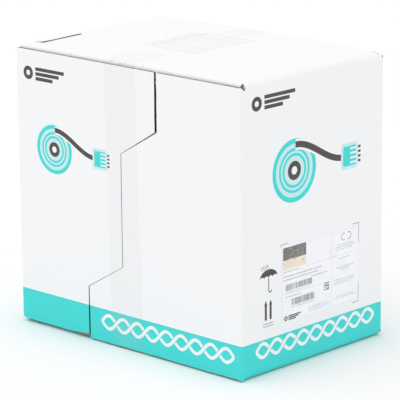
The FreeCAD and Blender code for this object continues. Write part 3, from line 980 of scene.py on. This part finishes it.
def fold_flecks(arc):
    """Small rubs and crumbs on the crushed middle of the front fold."""
    rng = random.Random(8)
    shapes = []
    for _ in range(110):
        x = rng.gauss(-20 * MM, 50 * MM)
        s = rng.uniform(0.35, 1.0) * arc
        size = rng.uniform(0.5, 1.9) * MM
        key = rng.choice(("mark", "line", "white", "worn"))
        shapes.append((key, rectangle(s, x, s + size * 0.5, x + size)))
    return shapes


def make_flaps():
    """Outer and inner flaps of both faces."""
    for front, face in FACES:
        for side, name in SIDES:
            sharp = front and side > 0
            crushed = SHARP_FOOT if sharp else FOOT_ROUNDING
            outline = flap_outline(side, crushed, crushed if sharp else FLAP_ARC + 6 * MM)
            node = "%s_%s_flap" % (face, name)
            # The outer flaps' seam edges and the board inside them are painted dark grey, as painted shade
            # of the seam gap.
            board(node, node, fold_outer(side, front), outline, "Z", "s", flap_ink(side, front),
                  bends=bends_at(0.0, FLAP_ARC),
                  creases=[(0.0, outline[0][1] + crushed, CLOSED, FLAP_TOP - 4 * MM)],
                  flip=(side > 0) == front, edge=flap_edge(False), rim=flap_edge(True), core=SHADE_KRAFT)
        for top, name in ((True, "top"), (False, "bottom")):
            arc = FLAP_FOLD * pi / 2
            length = arc + INNER_HIGH[2] - FLAP_FOLD - INNER_LOW[2]
            if top:
                # Painted shade: the rolled fold greys in two steps, rubbed then worn, towards the outer
                # flaps' top edge.
                ink = [("rubbed_and_shaded", rectangle(0.30 * arc, -HALF_L, length, HALF_L)),
                       ("worn", rectangle(0.62 * arc, -HALF_L, arc + 4 * MM, HALF_L))]
                ink += fold_flecks(arc) if front else []
            else:
                ink = [("teal", rectangle(-MM, -HALF_L, arc + BAND_TOP - FLAP_FOLD, HALF_L))]
            round_off = [sign * (HALF_L - TUBE_FOLD + i * 1.2 * MM) for sign in (-1, 1) for i in range(4)]
            # The inner flaps' cut edges are painted dark grey, as painted shade between the flaps.
            board("%s_%s_flap" % (face, name), "carton", fold_inner(front, top),
                  rectangle(0.0, INNER_LOW[0], length, INNER_HIGH[0]), "X", "s", ink,
                  bends=bends_at(0.0, arc), creases=[(0.0, INNER_LOW[0], CLOSED, INNER_HIGH[0])],
                  flip=front != top, cell=6 * MM, edge=SHADE_KRAFT, lines_t=round_off)


def flap_edge(inked):
    """The finish of an outer flap's cut edges by height: dark grey painted shade down the seam, pale top,
    inked foot.
    """
    deep = INKS["Z"]["deep_teal"] if inked else SHADE_KRAFT

    def pick(t):
        if t > FLAP_TOP - 0.2 * MM:
            return TOP_EDGE
        return deep if t < LEFT_BASE + FOOT_ROUNDING + 0.5 * MM else SHADE_KRAFT
    return pick


def make_pads():
    """Double-wall pads that carry the axle."""
    radius = AXLE_RADIUS + 0.05 * MM
    first = 3.0 * MM
    second = PAD_HIGH[1] - PAD_LOW[1] - first + LINER
    for front, face in FACES:
        def place(s, t, n, front=front):
            y = PAD_HIGH[1] - n
            return (s, -y if front else y, t)
        outline = rounded(PAD_LOW[0], PAD_LOW[2], PAD_HIGH[0], PAD_HIGH[2], 4.5 * MM)
        hole = ellipse(0.0, HEIGHT / 2, radius, radius, 48)
        board("support_pad_" + face, "carton", place, outline, "X", "t", holes=[hole], slot="kraft_board",
              layers=((first, FINE_PITCH), (second, PITCH)), flip=not front, bare=True)


# ---------------- tape and label
def tape_strip(inset=0.0):
    """The tape's outline on the face, in x and z."""
    half = TAPE_HALF - inset
    low, high = max(LEFT_BASE, RIGHT_BASE), FLAP_TOP
    shift = TAPE_LEAN * (high - low)
    return [(-half, low), (half, low), (half - shift, high), (-half - shift, high)]


def make_tape():
    """The tape on each outer flap, slit along the seam, and its end on the top."""
    for front, face in FACES:
        for side, name in SIDES:
            base = fold_outer(side, front)

            def place(s, t, n, base=base, side=side):
                wrinkle = 0.05 * MM + 0.10 * MM * max(0.0, ripple(s, t * 0.25, 21, 0.012))
                return base(s, t, n - wrinkle)

            piece = Piece("%s_tape_%s_film" % (face, name), place)
            region = [flap_points(side, tape_strip()), flap_outline(side)]
            piece.plate(region, lambda s, t: (-TAPE_THICK, 0.0), TAPE_EDGE, TAPE, TAPE_EDGE, cell=3.5 * MM,
                        ink=[("film", flap_points(side, tape_strip(0.7 * MM)))], inks={"film": TAPE})
            piece.finish("%s_tape_%s" % (face, name), "%s_%s_flap" % (face, name), "clear_tape",
                         flip=(side > 0) == front)
        make_tape_end(front, face)


def make_tape_end(front, face):
    """The tape's end: from the flap's top edge over the fold and flat on the top panel."""
    shift = TAPE_LEAN * FLAP_TOP
    arc = (FLAP_FOLD + 0.1 * MM) * pi / 2

    def place(s, t, n):
        rise = dome(t, -TOP_HALF if front else TOP_HALF)
        crinkle = 0.25 * MM * max(0.0, ripple(t, s * 0.6, 31, 0.006)) + 0.08 * MM - n
        if s < 0:
            share = min(1.0, -s / TAPE_LEG)
            y = -BODY_HALF - (HALF_D - BODY_HALF) * share - crinkle
            z = FLAP_TOP + 0.6 * MM * (1 - share) + rise * (1 - share)
        elif s < arc:
            turn = pi / 2 * (1 - s / arc)
            y = -TOP_HALF - (FLAP_FOLD + crinkle) * sin(turn)
            z = HEIGHT - FLAP_FOLD + (FLAP_FOLD + crinkle) * cos(turn) + rise
        else:
            y = -TOP_HALF + (s - arc)
            z = HEIGHT + dome(t, y if front else -y) + crinkle
        return (t, y if front else -y, z)

    piece = Piece(face + "_tape_top_film", place)
    outline = rectangle(-TAPE_LEG, -TAPE_HALF - shift, arc + TAPE_TURNED_OVER, TAPE_HALF - shift)
    piece.plate([outline], lambda s, t: (0.0, TAPE_THICK), TAPE, TAPE_TURNED, TAPE, cell=3 * MM,
                lines_s=bends_at(0.0, arc))
    piece.finish(face + "_tape_top", "carton", "clear_tape", flip=front)


def bars(s0, t0, s1, t1, seed):
    """A row of upright bars of uneven width, as on a printed code."""
    rng = random.Random(seed)
    shapes = []
    s = s0
    while s < s1:
        width = rng.choice((0.35, 0.35, 0.7, 1.05)) * MM
        shapes.append(("black", rectangle(s, t0, min(s + width, s1), t1)))
        s += width + rng.choice((0.35, 0.7, 0.7)) * MM
    return shapes


def lines_of_writing(s0, t, s1, height, seed, key="grey"):
    """A row of small plain blocks that stands for a line of writing."""
    rng = random.Random(seed)
    shapes = []
    s = s0
    while s < s1 - height:
        width = rng.uniform(1.4, 4.2) * height
        shapes.append((key, rectangle(s, t, min(s + width, s1), t + height)))
        s += width + height * 0.7
    return shapes


def label_ink():
    """The label's generic layout, in millimetres, with (74, 59) at its near lower corner."""
    near, low = LABEL_LOW[1], LABEL_LOW[2]

    def at(d, z):
        return near + (d - 74) * MM, low + (z - 59) * MM

    def block(key, d0, z0, d1, z1):
        return (key, rectangle(*at(d0, z0), *at(d1, z1)))

    shapes = [block("slate", 76, 141.5, 120, 158), block("tan", 76, 129, 120, 141.5)]
    rng = random.Random(5)
    for i in range(60):
        d, z = rng.uniform(76.5, 117), rng.uniform(136, 157)
        key = rng.choice(("black", "grey") if z > 142.5 else ("grey", "slate", "white"))
        shapes.append(block(key, d, z, d + rng.uniform(0.8, 2.6), z + rng.uniform(0.5, 1.3)))
    for start, end, z0, z1 in ((121, 220, 126.6, 127.1), (76, 220, 157.6, 158.0),
                               (76, 220, 60.2, 60.6), (76, 166, 96.0, 96.5)):
        shapes += [block("grey", d, z0, d + 3.0, z1) for d in range(start, end, 5)]
    for d0, d1 in ((168.8, 169.3), (74.6, 75.0)):
        shapes += [block("grey", d0, z, d1, z + 3.0) for z in range(62, 156, 5)]
    shapes += bars(*at(80, 101), *at(131, 109), 1) + bars(*at(92, 80), *at(136, 89), 2)
    for i in range(9):
        for j in range(9):
            if rng.random() < 0.6:
                d, z = 154 + i * 1.15, 86 + j * 1.15
                shapes.append(block("slate", d, z, d + 1.15, z + 1.15))
    rows = ((77, 125.4, 108, 1.5), (77, 119, 152, 1.9), (77, 114.6, 144, 1.9), (130, 110, 164, 1.6),
            (80, 98.2, 128, 1.1), (92, 77.2, 134, 1.2), (80, 92.0, 112, 1.4),
            (124, 70, 160, 1.0), (124, 67.4, 164, 1.0), (124, 64.8, 156, 1.0),
            (180, 140, 212, 1.2), (176, 137, 216, 1.2), (178, 134, 210, 1.2), (184, 122, 206, 1.2),
            (178, 110, 214, 1.2), (186, 107, 204, 1.2), (174, 94, 216, 1.1), (174, 91.4, 214, 1.1),
            (174, 88.8, 208, 1.1), (178, 72, 212, 1.1), (174, 69.4, 216, 1.1))
    for i, (d0, z, d1, height) in enumerate(rows):
        shapes += lines_of_writing(*at(d0, z), at(d1, z)[0], height * MM * 0.8, i + 10)
    for key, polygon in house_mark(*at(78, 65), 32 * MM, 6.5 * MM):
        shapes.append(("black" if key == "ink" else key, polygon))
    for d, start in ((193, 60), (203, -120)):
        shapes += [("slate", part) for part in arc_band(*at(d, 150), 4.6 * MM, 1.0 * MM, start, start + 240)]
    return shapes


def make_label():
    """The paper label, its far lower corner standing a little off the board."""
    thick = LABEL_HIGH[0] - LABEL_LOW[0]

    def place(s, t, n):
        corner = max(0.0, 1 - hypot(s - LABEL_HIGH[1], t - LABEL_LOW[2]) / (16 * MM))
        return (LABEL_HIGH[0] - n + 0.5 * MM * corner ** 2, s, t)

    piece = Piece("shipping_label_sheet", place)
    outline = rounded(LABEL_LOW[1], LABEL_LOW[2], LABEL_HIGH[1], LABEL_HIGH[2], 2.0 * MM)
    piece.plate([outline], lambda s, t: (0.0, thick * 0.8), LABEL["white"], LABEL["edge"], LABEL["edge"],
                ink=label_ink(), inks=LABEL, cell=8 * MM)
    piece.finish("shipping_label", "carton", "label_paper")


# ---------------- spool
def make_winding():
    """The outer turns of the cable as one helix, over a closed core of the turns below."""
    centre = HEIGHT / 2
    outer = WIND_HIGH[0]
    y0, y1 = WIND_LOW[1], WIND_HIGH[1]
    turns = int((y1 - y0) / CABLE)
    pitch = (y1 - y0) / turns
    around, per_turn = 96, 6
    bm = bmesh.new()
    rings = []
    for a in range(around):
        angle = 2 * pi * a / around
        lean = pitch * a / around
        column = []
        for i in range(turns * per_turn + 1):
            y = y0 + (y1 - y0) * i / (turns * per_turn)
            phase = ((y - y0 - lean) / pitch) % 1.0 - 0.5
            sag = CABLE / 2 * (1 - sqrt(max(0.0, 1 - (1.9 * phase) ** 2)))
            wander = 0.35 * MM * ripple(y * 3, angle * 0.05, 41, 0.02)
            radius = outer - 0.4 * MM - sag * 0.85 + wander
            column.append((radius, y))
        column += [(CORE, y1), (CORE, y0)]
        rings.append([bm.verts.new((r * cos(angle), y, centre + r * sin(angle)))
                      for r, y in column])
    for a in range(around):
        now, after = rings[a], rings[(a + 1) % around]
        for i in range(len(now)):
            j = (i + 1) % len(now)
            bm.faces.new((now[i], now[j], after[j], after[i]))
    bmesh.ops.recalc_face_normals(bm, faces=bm.faces[:])
    thing = mesh_object("cable_winding_turns", bm, [JACKET], 50)
    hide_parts("cable_winding")
    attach(thing, "spool")


def dress(node, material, width):
    """A CAD node that keeps its shape, with its finish and softened edges."""
    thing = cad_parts[node]
    thing.data.materials.clear()
    thing.data.materials.append(material)
    for polygon in thing.data.polygons:
        polygon.material_index = 0
    if width:
        bevel = thing.modifiers.new("edge", "BEVEL")
        bevel.width = width
        bevel.segments = 2
        bevel.limit_method = "ANGLE"
        bevel.angle_limit = radians(40)
    return thing


def make_spool():
    """The winding anew, and the finishes of the spool and axle, which keep their CAD shapes."""
    make_winding()
    for _, face in FACES:
        plate = dress("flange_" + face, PLY_FACE, 0.6 * MM)
        plate.data.materials.append(PLY_RIM)
        for polygon in plate.data.polygons:
            if abs(polygon.normal.y) < 0.5:
                polygon.material_index = 1
        dress("bush_" + face, BLACK, 0.6 * MM)
        dress("axle_cap_" + face, BLACK, 0.5 * MM)
    for node, material, edge in (("core_tube", TUBE_BOARD, 0.3), ("axle_tube", TUBE_BOARD, 0.3),
                                 ("cable_end_tape", END_TAPE, 0.0), ("tie_rods", ZINC, 0.4),
                                 ("tie_rod_washers", ZINC, 0.2), ("tie_rod_nuts", ZINC, 0.5)):
        dress(node, material, edge * MM)


# ---------------- stage, light and camera
def make_stage():
    """A pale floor just below the carton, an even white surround and a soft light from above."""
    bm = bmesh.new()
    bmesh.ops.create_grid(bm, x_segments=1, y_segments=1, size=6.0)
    s = Shader("floor", 0.9, 0.1)
    floor = mesh_object("floor", bm, [s.done(s.mix(s.noise(3.0), level(0.93), level(0.95)))], 32)
    floor.location.z = -0.5 * MM

    world = bpy.data.worlds.new("studio")
    world.use_nodes = True
    background = world.node_tree.nodes["Background"]
    background.inputs["Color"].default_value = level(1)
    background.inputs["Strength"].default_value = 0.94
    bpy.context.scene.world = world
    bpy.context.scene.view_settings.view_transform = "Standard"
    data = bpy.data.lights.new("soft_overhead", "SUN")
    data.energy = 0.45
    data.angle = radians(50)
    lamp = new_object("soft_overhead", data)
    lamp.rotation_euler = Vector((0.30, 0.60, -2.0)).to_track_quat("-Z", "Y").to_euler()


def make_camera():
    """The photograph's camera, as fitted to the carton's corners and edges."""
    data = bpy.data.cameras.new("camera")
    data.sensor_width = 36.0
    data.lens = 229.66
    camera = new_object("camera", data)
    right = Vector((0.723551, 0.690207, -0.009432))
    up = Vector((-0.165050, 0.186260, 0.968538))
    back = Vector((0.670248, -0.699230, 0.248687))
    position = Matrix.Translation((2.26197, -2.35767, 1.01385))
    camera.matrix_world = position @ Matrix((right, up, back)).transposed().to_4x4()
    bpy.context.scene.camera = camera


make_camera()
make_stage()
make_tube()
make_flaps()
make_pads()
make_tape()
make_label()
make_spool()
